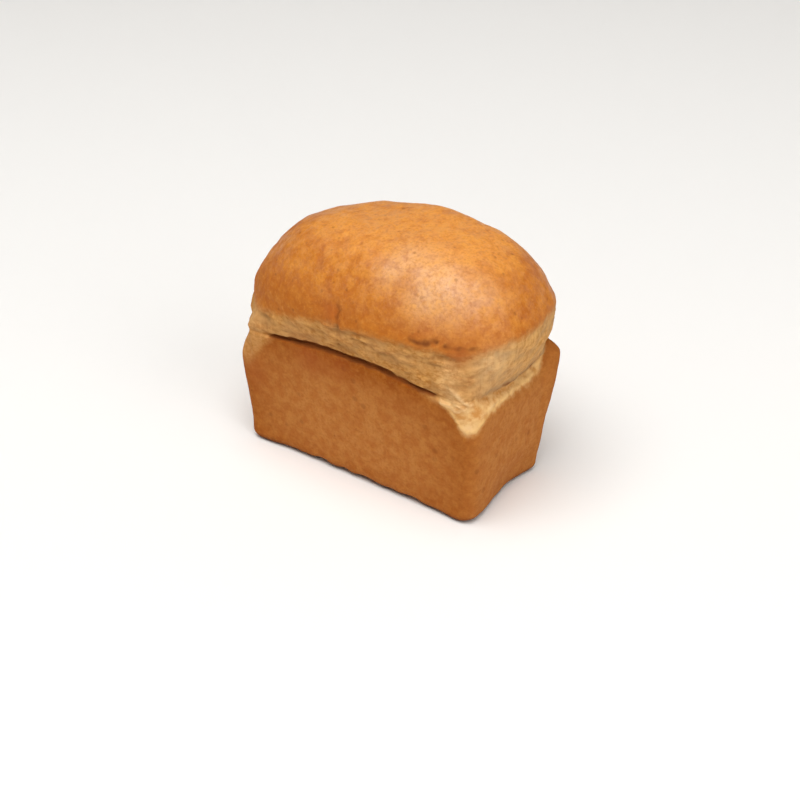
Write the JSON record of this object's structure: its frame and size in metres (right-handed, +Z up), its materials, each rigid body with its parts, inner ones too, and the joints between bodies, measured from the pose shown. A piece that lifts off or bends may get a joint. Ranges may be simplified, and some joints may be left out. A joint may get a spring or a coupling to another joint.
{
  "type": "tin loaf",
  "caption": "Whole uncut tin loaf of wheat bread: leaning sides shaped by the tin, a pale torn band above the rim and a domed brown crust; rests on its flat base",
  "frame": {"origin": "centre of the bounding box's bottom face, on the flat base the loaf stands on", "axes": "+X along the loaf towards the end with the soft hollow under the dome, +Y across it, +Z up"},
  "size_m": [0.1806, 0.1022, 0.1555],
  "materials": {
    "crust": "dry matt baked crust, browned on the dome and walls, pale in the torn band"
  },
  "bodies": {
    "root": {"tin_loaf": "crust"}
  },
  "joints": []
}
